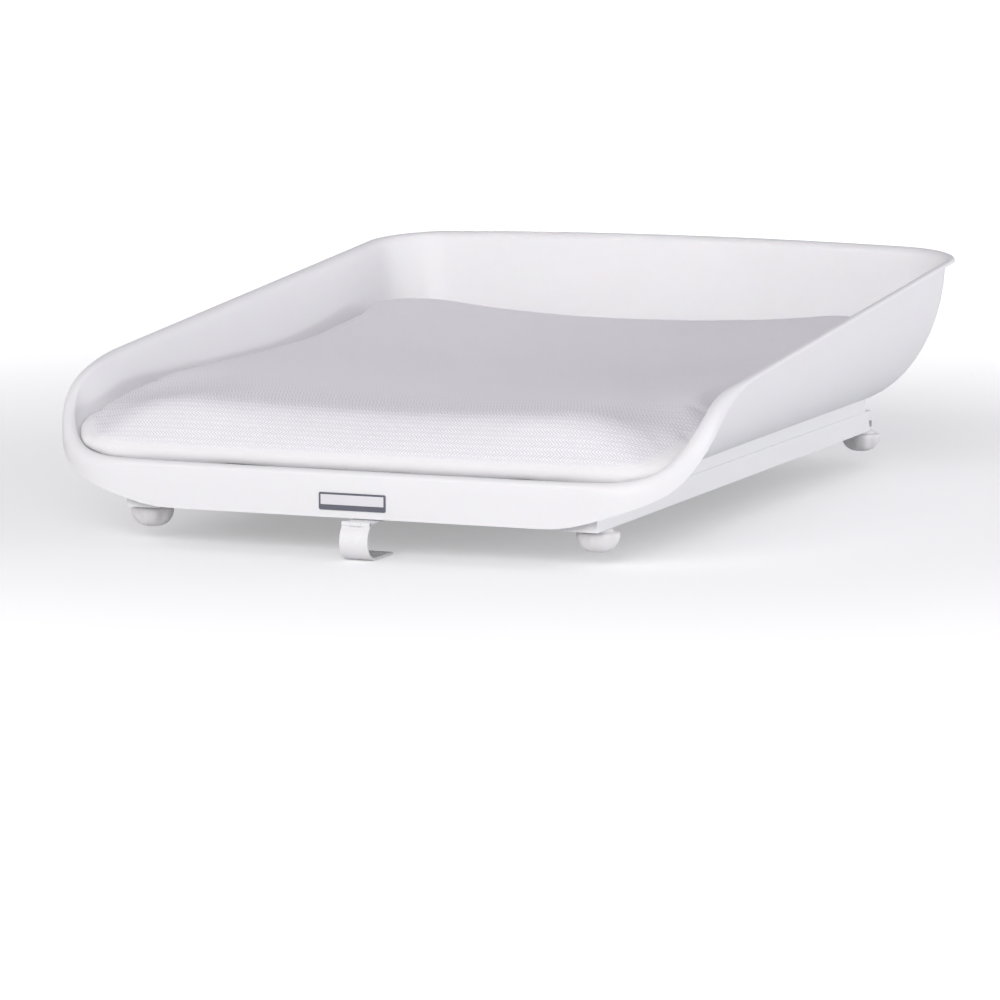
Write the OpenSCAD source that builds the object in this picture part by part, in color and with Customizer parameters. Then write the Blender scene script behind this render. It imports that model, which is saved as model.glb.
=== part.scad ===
// Changing tray with mattress for a playpen or cot.
// A thin moulded tray stands on an under-frame and two channel runners that lie across the top
// rails. Round stops under the runners locate it between the rails, a hook catch holds the front
// rail, and a zipped mattress lies loose in the bowl.
// Axes: x to the right, y from the front edge to the back, z up.
// Origin: centre line, half way back, on the plane of the rail tops that the runners rest on.

/* [Tray] */
// Overall width over the rim flange
tray_w = 611; // [590:1:630]
// Overall depth from the fascia to the rear edge of the flange
tray_d = 808; // [780:1:830]
// Wall thickness of the moulding
wall = 2.6; // [2:0.1:3]
// Height of the floor of the bowl above the rail tops
floor_z = 38; // [36:0.5:40]
// Height of the low front lip above the rail tops
lip_z = 42.5; // [42.5:0.5:46]
// Height of the rim above the rail tops where the side walls begin
side_rim_z = 113.5; // [100:0.5:130]
// Height of the rim above the rail tops at the rear corners
rear_rim_z = 175; // [150:1:190]
// Rise of the rear rim from its corners to its middle
rear_crown = 5.5; // [0:0.5:10]
// Plan radius of the front corners of the flange
front_corner_r = 77; // [60:1:90]
// Plan radius of the rear corners of the flange
rear_corner_r = 64; // [50:1:90]
// Plan width of the curve between the floor and a side wall
side_curve = 72; // [66:1:78]
// Plan width of the curve between the floor and the rear wall
rear_curve = 58; // [50:1:70]
// Outward reach of the rim flange
flange_w = 12; // [10:0.5:14]
// Height of the fascia at the front
fascia_h = 40; // [36:0.5:40]

/* [Under-frame and runners] */
// Width over the runners
base_w = 439; // [430:1:444]
// Width of one runner
runner_w = 32; // [30:1:34]
// Height of a runner
runner_h = 20; // [19:0.5:21]
// Length of a runner channel
runner_l = 750; // [740:1:760]
// Sheet thickness of the runner channel
runner_wall = 2.5; // [2:0.1:2.6]

/* [Rails] */
// Clear distance between the two rails
rail_gap = 761; // [750:1:764]
// Width of a rail across the tray
rail_w = 39; // [30:1:42]
// Height of a rail
rail_h = 20; // [16:1:24]

/* [Stops] */
// Diameter of a stop knob
knob_d = 38; // [34:1:40]
// Height of a stop knob
knob_h = 20; // [16:1:22]
// Travel of the rear stops towards the front, for narrower cots
stop_travel = 150; // [100:10:200]

/* [Catch] */
// Width of the hook strip
hook_w = 26; // [22:1:30]
// Thickness of the hook strip
hook_t = 2; // [1.6:0.1:2.2]
// Length of the leg that passes under the rail
hook_leg = 56; // [48:1:60]
// Distance of the hook from the centre line
hook_x = 12; // [-20:1:20]

/* [Mattress] */
// Width of the mattress
pad_w = 528; // [480:1:536]
// Length of the mattress
pad_l = 706; // [660:1:710]
// Thickness of the mattress
pad_t = 48; // [40:1:50]

/* [Hidden] */
$fn = 48;
eps = 0.05;

// ---- tray outline -------------------------------------------------------------------------
fascia_y = -tray_d / 2 + 0.5;
rim_w = tray_w / 2 - flange_w;
rim_front = fascia_y + flange_w;
rim_rear = rim_front + tray_d - 2 * flange_w;
wall_lean = 4;
front_curve = 14;
floor_w = rim_w - side_curve - wall_lean;
floor_front = rim_front + front_curve + wall_lean;
floor_rear = rim_rear - rear_curve - wall_lean;
floor_front_r = 70;
floor_rear_r = 48;
front_roll = 3.5;
side_roll = 9;
edge_drop = 3.4;
edge_tail = 0.8;
edge_r = 5;
edge_growth = 6;
soft_reach = 2.4;
soft_fall = 9.5;
curve_zone = 130;
rim_slope = (rear_rim_z - side_rim_z) / (rim_rear - rim_front - front_corner_r);

function mix(a, b, t) = a + (b - a) * t;
function ease(t) = let (c = min(1, max(0, t))) c * c * (3 - 2 * c);
function tanh(t) = (exp(2 * t) - 1) / (exp(2 * t) + 1);

// The right half of a rounded outline, from the front centre round to the rear centre.
function half_outline(w, front, rear, rf, rr) = concat(
    [for (i = [0:6]) [(w - rf) * i / 7, front]],
    [for (i = [0:12]) let (a = 90 * i / 12) [w - rf + rf * sin(a), front + rf - rf * cos(a)]],
    [for (i = [1:5]) [w, front + rf + curve_zone * i / 5]],
    [for (i = [1:4]) [w, mix(front + rf + curve_zone, rear - rr, i / 5)]],
    [for (i = [0:9]) let (a = 90 * i / 9) [w - rr + rr * cos(a), rear - rr + rr * sin(a)]],
    [for (i = [1:3]) [(w - rr) * (1 - i / 3), rear]]
);
rim_line = half_outline(rim_w, rim_front, rim_rear, front_corner_r - flange_w, rear_corner_r - flange_w);
floor_line = half_outline(floor_w, floor_front, floor_rear, floor_front_r, floor_rear_r);
edge_line = half_outline(tray_w / 2, fascia_y, rim_rear + flange_w, front_corner_r, rear_corner_r);
function along(line, i) = i == 0 ? 0 : along(line, i - 1) + norm(line[i] - line[i - 1]);

// Stations round the rim as [rim point, floor point, edge point, distance from the front centre].
right_half = [for (i = [0:len(rim_line) - 1]) [rim_line[i], floor_line[i], edge_line[i], along(edge_line, i)]];
function flip(p) = [-p[0], p[1]];
stations = concat(
    right_half,
    [for (i = [len(right_half) - 2:-1:1]) let (s = right_half[i]) [flip(s[0]), flip(s[1]), flip(s[2]), s[3]]]
);

// Ramps round the front corner as [start, length], measured along the edge from the front centre.
front_run = tray_w / 2 - front_corner_r;
corner_arc = front_corner_r * PI / 2;
fascia_rise = [front_run - 52, 100];
fascia_tail = [front_run + 0.54 * corner_arc, 145];
soft_in = [front_run - 20, 42];
soft_out = [front_run + 1.5 * corner_arc, 84];
function ramp(s, r) = ease((s[3] - r[0]) / r[1]);

// Share of the climb from the low front lip to the side walls: an S-curve round the corner.
climb_middle = front_run + 0.69 * corner_arc;
climb_reach = 42;
function climb(s) = (1 + tanh((s[3] - climb_middle) / climb_reach)) / 2;
function side_z(y) = side_rim_z + rim_slope * (y - rim_front - front_corner_r);
function crown(p) = let (back = max(0, 1 - (rim_rear - p[1]) / (rear_corner_r - flange_w)))
    rear_crown * back * (1 - pow(p[0] / rim_w, 2));
function rim_z(s) = mix(lip_z, side_z(s[0][1]), climb(s)) + crown(s[0]);

// Height of the flange that is turned down: the fascia in front, little more than an edge at the sides.
function drop(s) = edge_drop + (fascia_h - edge_drop) / 2 * (2 - ramp(s, fascia_rise) - ramp(s, fascia_tail));

// The flange edge is rounded off by an ellipse, softer where the rim dives round the corner.
function softness(s) = ramp(s, soft_in) * (1 - ramp(s, soft_out));
function edge_reach(s) = let (grown = min(1, (drop(s) - edge_drop) / edge_growth))
    mix(edge_drop - edge_tail, edge_r + soft_reach * softness(s), grown);
function edge_fall(s) = min(drop(s) - edge_tail, edge_r + soft_fall * softness(s));

// The section of the upper face at one station, from the floor to the edge, as [where, z]:
// where runs from -1 at the floor line to 0 at the rim line and on to 1 at the flange edge.
function section(s) = let (
        d = drop(s), out = edge_reach(s), down = edge_fall(s), top = rim_z(s),
        roll = min(mix(front_roll, side_roll, climb(s)), flange_w - out - 0.2), h = top - roll - floor_z,
        lean = wall_lean / norm(s[0] - s[1]))
    concat(
        [for (a = [0:18:90]) [-(1 - lean) * (1 - sin(a)) - lean * cos(a), floor_z + h * (1 - cos(a))]],
        [for (a = [150:-30:90]) [roll * (1 + cos(a)) / flange_w, top - roll + roll * sin(a)]],
        [for (a = [90:-30:0]) [1 - out * (1 - cos(a)) / flange_w, top - down * (1 - sin(a))]],
        [[1, top - d]]
    );
function place(s, p) = let (
        xy = p[0] < 0 ? mix(s[0], s[1], -p[0]) : mix(s[0], s[2], p[0]))
    [xy[0], xy[1], p[1]];
function reach(s, p) = p[0] < 0 ? p[0] * norm(s[0] - s[1]) : p[0] * flange_w;

// The lower face: each point moved along the section's normal by the local thickness.
function thickness(s, k) = k < 9 ? wall : min(wall, 0.8 * min(edge_reach(s), edge_fall(s)));
function lower(s, p) = let (q = [for (v = p) [reach(s, v), v[1]]])
    [for (k = [0:len(p) - 1]) let (
            a = q[max(0, k - 1)], b = q[min(len(q) - 1, k + 1)], t = (b - a) / norm(b - a),
            m = k == 0 ? q[0] - [0, wall] : q[k] + thickness(s, k) * [t[1], -t[0]])
        [m[0] < 0 ? m[0] / norm(s[0] - s[1]) : m[0] / flange_w, m[1]]];

module tray_skin() {
    upper = [for (s = stations) section(s)];
    under = [for (s = stations) lower(s, section(s))];
    m = len(upper[0]);
    n = len(stations);
    rings = 2 * m;
    points = concat(
        [for (k = [0:m - 1]) for (i = [0:n - 1]) place(stations[i], upper[i][k])],
        [for (k = [m - 1:-1:0]) for (i = [0:n - 1]) place(stations[i], under[i][k])],
        [[0, 0, floor_z], [0, 0, floor_z - wall]]
    );
    faces = concat(
        [for (k = [0:rings - 2]) for (i = [0:n - 1]) let (j = (i + 1) % n)
            [k * n + i, k * n + j, (k + 1) * n + j, (k + 1) * n + i]],
        [for (i = [0:n - 1]) let (j = (i + 1) % n) [rings * n, j, i]],
        [for (i = [0:n - 1]) let (j = (i + 1) % n)
            [rings * n + 1, (rings - 1) * n + i, (rings - 1) * n + j]]
    );
    polyhedron(points, faces, convexity = 8);
}

// Bosses under the floor take the tray screws.
module tray_shell() {
    color("whitesmoke") union() {
        tray_skin();
        difference() {
            for (y = cross_y, x = tray_screw_x)
                translate([x, y, frame_bottom + web]) cylinder(r = 5, h = frame_top - frame_bottom - web + wall / 2);
            for (y = cross_y, x = tray_screw_x)
                translate([x, y, frame_bottom + web - 1]) cylinder(r = screw_fit_r, h = 12);
        }
    }
}

// Plain badge in the middle of the fascia.
badge_w = 62;
badge_h = 15;
badge_t = 0.8;
badge_z = lip_z - 26;

module badge_plate() {
    color("gray") translate([0, fascia_y, badge_z]) rotate([90, 0, 0]) linear_extrude(badge_t)
        rounded_rectangle(badge_w, badge_h, 1.5);
}

// ---- shared shapes ------------------------------------------------------------------------
module box(x, y, z) {
    translate([x[0], y[0], z[0]]) cube([x[1] - x[0], y[1] - y[0], z[1] - z[0]]);
}

module both_sides() {
    children();
    mirror([1, 0, 0]) children();
}

module rounded_rectangle(w, d, r) {
    square([w - 2 * r, d], center = true);
    square([w, d - 2 * r], center = true);
    for (x = [-1, 1], y = [-1, 1]) translate([x * (w / 2 - r), y * (d / 2 - r)]) circle(r);
}

// A pan-head screw pointing up, with the underside of its head at the origin.
module screw(length) {
    translate([0, 0, -screw_head_h]) cylinder(r = screw_head_r, h = screw_head_h);
    cylinder(r = screw_r, h = length);
}

// ---- under-frame --------------------------------------------------------------------------
frame_bottom = runner_h;
frame_top = floor_z - wall;
frame_front = fascia_y + 11.5;
frame_rear = frame_front + 736;
web = 2.5;
tier_step = 1.2;
cross_d = 44;
cross_y = [frame_front + cross_d / 2, (frame_front + frame_rear) / 2, frame_rear - cross_d / 2];
inner_x = base_w / 2 - runner_w;
screw_r = 2;
screw_fit_r = 2.05;
screw_clear_r = 2.4;
screw_head_r = 3.8;
screw_head_h = 2.2;
tray_screw_x = [-120, 120];
catch_screw_x = [hook_x - 8, hook_x + 8];
catch_screw_y = cross_y[0] - 8;

// A trough, open on top, with its floor web at the bottom.
module trough(x, y) {
    difference() {
        box(x, y, [frame_bottom, frame_top]);
        box([x[0] + web, x[1] - web], [y[0] + web, y[1] - web], [frame_bottom + web, frame_top + 1]);
    }
}

module frame_boss() {
    cylinder(r = 4.2, h = 12);
}

module under_frame() {
    color("white") difference() {
        union() {
            both_sides() trough([inner_x, base_w / 2 - tier_step], [frame_front, frame_rear]);
            for (y = cross_y) trough([-inner_x - web, inner_x + web], [y - cross_d / 2, y + cross_d / 2]);
            both_sides() for (y = runner_screw_y) translate([slot_x, y, frame_bottom]) frame_boss();
            for (x = catch_screw_x) translate([x, catch_screw_y, frame_bottom]) frame_boss();
        }
        for (y = cross_y, x = tray_screw_x)
            translate([x, y, frame_bottom - 1]) cylinder(r = screw_clear_r, h = web + 2);
        both_sides() for (y = runner_screw_y)
            translate([slot_x, y, frame_bottom - 1]) cylinder(r = screw_fit_r, h = 12);
        for (x = catch_screw_x)
            translate([x, catch_screw_y, frame_bottom - 1]) cylinder(r = screw_fit_r, h = 12);
    }
}

module tray_screws() {
    color("silver") for (y = cross_y, x = tray_screw_x) translate([x, y, frame_bottom]) screw(13);
}

// ---- runners ------------------------------------------------------------------------------
runner_y = [frame_front, frame_front + runner_l];
runner_x = [inner_x, base_w / 2];
cap_t = 3;
cap_plug = 12;
slot_x = 209;
stud_r = 3;
slot_r = 3.5;
fit_gap = 0.2;
runner_screw_y = [runner_y[0] + 70, runner_y[0] + 270, runner_y[0] + 470, runner_y[0] + 640];
cove_r = 12;
front_stop_y = -rail_gap / 2 + knob_d / 2;
rear_stop_y = rail_gap / 2 - knob_d / 2 - 3;

// The channel is open behind, where its end is scooped out between a top lip and a foot.
module runner() {
    color("white") difference() {
        box(runner_x, [runner_y[0] + cap_t, runner_y[1]], [0, runner_h]);
        box([runner_x[0] + runner_wall, runner_x[1] - runner_wall], [runner_y[0] - 1, runner_y[1] + 1],
            [runner_wall, runner_h - runner_wall]);
        translate([runner_x[0] - 1, runner_y[1] + 2, runner_h / 2 + 1]) rotate([0, 90, 0])
            cylinder(r = cove_r - 3.2, h = runner_w + 2);
        translate([slot_x, front_stop_y, -1]) cylinder(r = slot_r, h = runner_wall + 2);
        translate([slot_x, rear_stop_y - stop_travel, -1]) cylinder(r = slot_r, h = runner_wall + 2);
        box([slot_x - slot_r, slot_x + slot_r], [rear_stop_y - stop_travel, runner_y[1] + 1],
            [-1, runner_wall + 1]);
        for (y = runner_screw_y)
            translate([slot_x, y, runner_h - runner_wall - 1]) cylinder(r = screw_clear_r, h = runner_wall + 2);
    }
}

module runner_left() {
    mirror([1, 0, 0]) runner();
}

module runner_right() {
    runner();
}

module runner_screws() {
    color("silver") both_sides() for (y = runner_screw_y)
        translate([slot_x, y, runner_h - runner_wall]) screw(11);
}

// The cap closes the front end of the channel and plugs into it.
module front_cap() {
    gap = runner_wall + fit_gap;
    color("white") {
        box(runner_x, [runner_y[0], runner_y[0] + cap_t], [0, runner_h]);
        box([runner_x[0] + gap, runner_x[1] - gap], [runner_y[0] + cap_t - eps, runner_y[0] + cap_t + cap_plug],
            [gap, runner_h - gap]);
    }
}

module front_cap_left() {
    mirror([1, 0, 0]) front_cap();
}

module front_cap_right() {
    front_cap();
}

// The bar lies inside the channel and reaches back over the rear rail, on a pad.
foot_w = 9;
foot_y = [runner_y[1] - 90, rail_gap / 2 + 20];

module rear_foot() {
    x = [runner_x[0] + runner_wall, runner_x[0] + runner_wall + foot_w];
    color("white") {
        box(x, foot_y, [runner_wall, runner_wall + 6]);
        box(x, [rail_gap / 2 + 2, foot_y[1]], [0, runner_wall + eps]);
    }
}

module rear_foot_left() {
    mirror([1, 0, 0]) rear_foot();
}

module rear_foot_right() {
    rear_foot();
}

// ---- stops --------------------------------------------------------------------------------
nut_l = 20;
nut_x = [runner_x[0] + runner_wall + foot_w + fit_gap, runner_x[1] - runner_wall - fit_gap];
nut_z = [runner_wall + 0.1, runner_wall + 6];
knob_top = -0.3;
stud_embed = 13;

module nut_at(y) {
    color("silver") difference() {
        box(nut_x, [y - nut_l / 2, y + nut_l / 2], nut_z);
        translate([slot_x, y, nut_z[0] - 1]) cylinder(r = stud_r + 0.05, h = nut_z[1]);
    }
}

module stud_at(y) {
    color("silver") translate([slot_x, y, knob_top - stud_embed]) cylinder(r = stud_r, h = stud_embed + 12);
}

// A round knob with a domed underside.
module knob_at(y) {
    r = knob_d / 2;
    side_h = 4;
    flat_r = 5;
    color("white") translate([slot_x, y, knob_top]) difference() {
        rotate_extrude($fn = 96) polygon(concat(
            [[0, 0], [r - 1, 0], [r, -1]],
            [for (a = [0:9:90]) [flat_r + (r - flat_r) * cos(a), -side_h - (knob_h - side_h) * sin(a)]],
            [[0, -knob_h]]
        ));
        translate([0, 0, -stud_embed]) cylinder(r = stud_r, h = stud_embed + 1);
    }
}

module front_nut_left() {
    mirror([1, 0, 0]) nut_at(front_stop_y);
}

module front_nut_right() {
    nut_at(front_stop_y);
}

module rear_nut_left() {
    mirror([1, 0, 0]) nut_at(rear_stop_y);
}

module rear_nut_right() {
    nut_at(rear_stop_y);
}

module front_stud_left() {
    mirror([1, 0, 0]) stud_at(front_stop_y);
}

module front_stud_right() {
    stud_at(front_stop_y);
}

module rear_stud_left() {
    mirror([1, 0, 0]) stud_at(rear_stop_y);
}

module rear_stud_right() {
    stud_at(rear_stop_y);
}

module front_knob_left() {
    mirror([1, 0, 0]) knob_at(front_stop_y);
}

module front_knob_right() {
    knob_at(front_stop_y);
}

module rear_knob_left() {
    mirror([1, 0, 0]) knob_at(rear_stop_y);
}

module rear_knob_right() {
    knob_at(rear_stop_y);
}

// ---- catch on the front rail --------------------------------------------------------------
rail_front_y = -rail_gap / 2 - rail_w;
barrel_r = 2.4;
pin_r = 1;
pin_y = rail_front_y - 3;
pin_z = 0.6;
knuckle_w = 10;
plate_t = 1.4;
plate_z = 0.3;
hook_y = rail_front_y + 7;
hook_z = -rail_h / 2 - 4;
hook_r = 17;

// Extrudes a y-z outline along x, centred on the hook, to the given width.
module across(w) {
    translate([hook_x - w / 2, 0, 0]) rotate([90, 0, 90]) linear_extrude(w) children();
}

module catch_plate() {
    top = frame_bottom;
    back = catch_screw_y + 8;
    bend = catch_screw_y - 6;
    color("white") difference() {
        union() {
            across(hook_w) {
                translate([bend, top - plate_t]) square([back - bend, plate_t]);
                translate([bend, plate_z]) square([plate_t, top - plate_z]);
                translate([rail_front_y + 1, plate_z]) square([bend - rail_front_y, plate_t]);
            }
            across(knuckle_w) {
                translate([pin_y, plate_z]) square([6, plate_t]);
                translate([pin_y, pin_z]) circle(barrel_r);
            }
        }
        across(hook_w + 2) translate([pin_y, pin_z]) circle(pin_r);
        for (x = catch_screw_x) translate([x, catch_screw_y, top - plate_t - 1])
            cylinder(r = screw_clear_r, h = plate_t + 2);
    }
}

module catch_pin() {
    color("silver") across(hook_w) translate([pin_y, pin_z]) circle(pin_r);
}

module catch_screws() {
    color("silver") for (x = catch_screw_x)
        translate([x, catch_screw_y, frame_bottom - plate_t]) screw(11);
}

// The hook bulges over the front of the rail and its leg passes back under the rail.
module front_catch() {
    color("white") difference() {
        across(hook_w) difference() {
            union() {
                translate([pin_y, pin_z]) circle(barrel_r);
                difference() {
                    translate([hook_y, hook_z]) circle(hook_r);
                    translate([hook_y, hook_z]) circle(hook_r - hook_t);
                    translate([hook_y, hook_z - 2 * hook_r]) square(4 * hook_r);
                    translate([pin_y, plate_z - fit_gap]) square(4 * hook_r);
                }
                translate([hook_y, hook_z - hook_r]) square([hook_leg - hook_r, hook_t]);
            }
            translate([pin_y, pin_z]) circle(pin_r + 0.05);
        }
        across(knuckle_w + 0.4) translate([pin_y, pin_z]) circle(barrel_r + 0.3);
    }
}

// ---- mattress -----------------------------------------------------------------------------
pad_gap = 2;
pad_front_y = rim_front + 4;
pad_mid_y = pad_front_y + pad_l / 2;
pad_corner_r = 88;
pad_dish = 10;
cover_t = 1.5;
zip_rise = 14;
pad_steps = 8;
wall_h = rear_rim_z - side_roll - floor_z;

// Height of the bowl above its floor at a distance x from the centre line.
function bowl_rise(x) = let (t = max(0, x - floor_w) / (side_curve + wall_lean))
    wall_h * (1 - sqrt(max(0, 1 - t * t)));
function pad_bottom(x) = floor_z + pad_gap + bowl_rise(x);
function pad_top(x) = floor_z + pad_gap + pad_t + pad_dish * pow(2 * x / pad_w, 2);
function steps(w) = [for (i = [-pad_steps:pad_steps]) w / 2 * i / pad_steps];

// The x-z outline of the mattress, shrunk all round by an inset.
module pad_outline(inset, low, high) {
    xs = steps(pad_w - 2 * inset);
    polygon(concat(
        [for (x = xs) [x, low(abs(x)) + inset]],
        [for (i = [len(xs) - 1:-1:0]) [xs[i], high(abs(xs[i])) - inset]]
    ));
}

module pad_solid(inset, low, high) {
    intersection() {
        translate([0, pad_mid_y + pad_l / 2 - inset, 0]) rotate([90, 0, 0])
            linear_extrude(pad_l - 2 * inset) pad_outline(inset, low, high);
        translate([0, pad_mid_y, 0]) linear_extrude(4 * pad_t)
            rounded_rectangle(pad_w - 2 * inset, pad_l - 2 * inset, pad_corner_r - inset);
    }
}

pad_low = function (x) pad_bottom(x);
pad_high = function (x) pad_top(x);
pad_seam = function (x) pad_bottom(x) + zip_rise;

module foam_core() {
    color("lightyellow") pad_solid(cover_t + 0.3, pad_low, pad_high);
}

module cover_top() {
    color("gainsboro") difference() {
        pad_solid(0, pad_seam, pad_high);
        pad_solid(cover_t, pad_low, pad_high);
    }
}

module cover_base() {
    color("lightgray") difference() {
        pad_solid(0, pad_low, pad_seam);
        pad_solid(cover_t, pad_low, pad_high);
    }
}

// The zip runs along the rear side of the cover.
zip_y = pad_front_y + pad_l;
zip_z = floor_z + pad_gap + zip_rise;
zip_x = -170;
slider_w = 7;
slider_h = 9;
slider_t = 4;
pull_l = 15;
pull_w = 5;
pull_pin_z = zip_z + 1;

module zip_slider() {
    color("silver") translate([zip_x, zip_y + fit_gap, zip_z]) difference() {
        box([-slider_w / 2, slider_w / 2], [0, slider_t], [-slider_h / 2, slider_h / 2]);
        translate([-slider_w, slider_t / 2 + 0.4, pull_pin_z - zip_z]) rotate([0, 90, 0])
            cylinder(r = 0.85, h = 2 * slider_w);
    }
}

// A stirrup pivots in the slider and carries the flat pull tab.
module zip_pull() {
    ear_t = 1;
    ear_x = slider_w / 2 + fit_gap;
    color("silver") translate([zip_x, zip_y + fit_gap + slider_t / 2 + 0.4, pull_pin_z]) {
        rotate([0, 90, 0]) translate([0, 0, -ear_x - ear_t / 2]) cylinder(r = 0.8, h = 2 * ear_x + ear_t);
        both_sides() box([ear_x, ear_x + ear_t], [-1, 1], [-slider_h / 2 - 4, 1]);
        box([-ear_x - ear_t, ear_x + ear_t], [-1, 1], [-slider_h / 2 - 4, -slider_h / 2 - 3]);
        box([-pull_w / 2, pull_w / 2], [-0.6, 0.6], [-pull_l, -slider_h / 2 - 3]);
    }
}

tray_shell();
badge_plate();
under_frame();
runner_left();
runner_right();
front_cap_left();
front_cap_right();
rear_foot_left();
rear_foot_right();
front_nut_left();
front_nut_right();
rear_nut_left();
rear_nut_right();
front_stud_left();
front_stud_right();
rear_stud_left();
rear_stud_right();
front_knob_left();
front_knob_right();
rear_knob_left();
rear_knob_right();
tray_screws();
runner_screws();
catch_screws();
catch_plate();
catch_pin();
front_catch();
foam_core();
cover_top();
cover_base();
zip_slider();
zip_pull();
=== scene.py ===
"""Looks of the changing tray with its mattress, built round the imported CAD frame.

The moulded tray and the mattress are modelled here from the same driving dimensions as the CAD.
The star knobs, the badge's pale field and the zip's tape and teeth are modelled here too. Every
other piece keeps its CAD shape under a small bevel and a procedural material. Units are metres.
"""

import math

import bmesh
import bpy
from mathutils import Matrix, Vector, noise
from mathutils.bvhtree import BVHTree


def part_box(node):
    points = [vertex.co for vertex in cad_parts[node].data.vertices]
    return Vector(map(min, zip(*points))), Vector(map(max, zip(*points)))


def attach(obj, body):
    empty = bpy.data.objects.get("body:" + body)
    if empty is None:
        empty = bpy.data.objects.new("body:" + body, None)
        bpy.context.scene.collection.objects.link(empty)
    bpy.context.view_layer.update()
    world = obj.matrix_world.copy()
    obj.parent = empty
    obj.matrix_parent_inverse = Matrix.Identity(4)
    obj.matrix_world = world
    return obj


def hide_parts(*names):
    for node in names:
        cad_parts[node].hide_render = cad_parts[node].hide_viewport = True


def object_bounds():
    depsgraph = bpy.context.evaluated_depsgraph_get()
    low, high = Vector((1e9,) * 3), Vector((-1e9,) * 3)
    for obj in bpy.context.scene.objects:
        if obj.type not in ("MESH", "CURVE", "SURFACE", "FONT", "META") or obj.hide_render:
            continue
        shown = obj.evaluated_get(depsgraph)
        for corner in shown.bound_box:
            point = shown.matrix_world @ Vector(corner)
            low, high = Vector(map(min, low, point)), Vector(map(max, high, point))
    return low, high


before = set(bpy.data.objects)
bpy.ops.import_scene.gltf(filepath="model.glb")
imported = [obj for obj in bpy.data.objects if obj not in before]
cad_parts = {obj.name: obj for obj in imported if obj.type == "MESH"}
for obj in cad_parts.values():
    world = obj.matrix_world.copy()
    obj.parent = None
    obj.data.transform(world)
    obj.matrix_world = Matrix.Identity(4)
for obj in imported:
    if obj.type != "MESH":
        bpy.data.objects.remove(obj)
CAD_LOW, CAD_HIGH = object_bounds()
SHELL_LOW, SHELL_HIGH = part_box("tray_shell")
COVER_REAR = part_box("cover_base")[1].y

# ---- camera, as the picture was taken ------------------------------------------------------
CAMERA_EYE = (1.739, -4.387, 0.624)
CAMERA_TURN = 21.92
CAMERA_PITCH = 7.935
CAMERA_LENS = 184.85
SENSOR = 36

# ---- tray dimensions and cross-section ------------------------------------------------------
WALL = 0.0026
FLANGE = 0.012
HALF_W = SHELL_HIGH.x
EDGE_FRONT = SHELL_LOW.y
EDGE_REAR = SHELL_HIGH.y
REAR_CROWN = 0.0055
REAR_RIM_Z = SHELL_HIGH.z - REAR_CROWN
SIDE_RIM_Z = 0.1135
LIP_Z = 0.0425
FLOOR_Z = 0.038
FASCIA_H = 0.040
FRONT_R = 0.077
REAR_R = 0.064
SIDE_CURVE = 0.072
REAR_CURVE = 0.058
FRONT_CURVE = 0.014
WALL_LEAN = 0.004
FLOOR_FRONT_R = 0.070
FLOOR_REAR_R = 0.048
FRONT_ROLL = 0.0035
SIDE_ROLL = 0.009
EDGE_DROP = 0.0034
EDGE_TAIL = 0.0008
EDGE_R = 0.005
EDGE_GROWTH = 0.006
SOFT_REACH = 0.0024
SOFT_FALL = 0.0095
CURVE_ZONE = 0.130

RIM_W = HALF_W - FLANGE
RIM_FRONT = EDGE_FRONT + FLANGE
RIM_REAR = EDGE_REAR - FLANGE
FLOOR_W = RIM_W - SIDE_CURVE - WALL_LEAN
FLOOR_FRONT = RIM_FRONT + FRONT_CURVE + WALL_LEAN
FLOOR_REAR = RIM_REAR - REAR_CURVE - WALL_LEAN
FRONT_RUN = HALF_W - FRONT_R
CORNER_ARC = FRONT_R * math.pi / 2
RIM_SLOPE = (REAR_RIM_Z - SIDE_RIM_Z) / (RIM_REAR - RIM_FRONT - FRONT_R)

# How many points each stretch of the outline gets, on the right half.
FRONT_STEPS = 16
FRONT_CORNER_STEPS = 28
CURVE_STEPS = 24
SIDE_STEPS = 24
REAR_CORNER_STEPS = 24
REAR_STEPS = 12

# How many points each part of the cross-section gets, from the floor to the flange's lower edge.
BOWL_STEPS = 12
ROLL_POINTS = 6
EDGE_POINTS = 7
TAIL_POINTS = 4
POINT_TURN = 15
THINNING_FROM = 16
THINNING_POINTS = 6

# Ramps round the front corner as (start, length), measured along the edge from the front centre.
FASCIA_RISE = (FRONT_RUN - 0.052, 0.100)
FASCIA_TAIL = (FRONT_RUN + 0.54 * CORNER_ARC, 0.145)
SOFT_IN = (FRONT_RUN - 0.020, 0.042)
SOFT_OUT = (FRONT_RUN + 1.5 * CORNER_ARC, 0.084)
CLIMB_MIDDLE = FRONT_RUN + 0.69 * CORNER_ARC
CLIMB_REACH = 0.042


def mix(a, b, t):
    return a + (b - a) * t


def ease(t):
    c = min(1.0, max(0.0, t))
    return c * c * (3 - 2 * c)


def ramp(along, span):
    """0 before a (start, length) span and 1 after it."""
    start, length = span
    return ease((along - start) / length)


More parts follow.
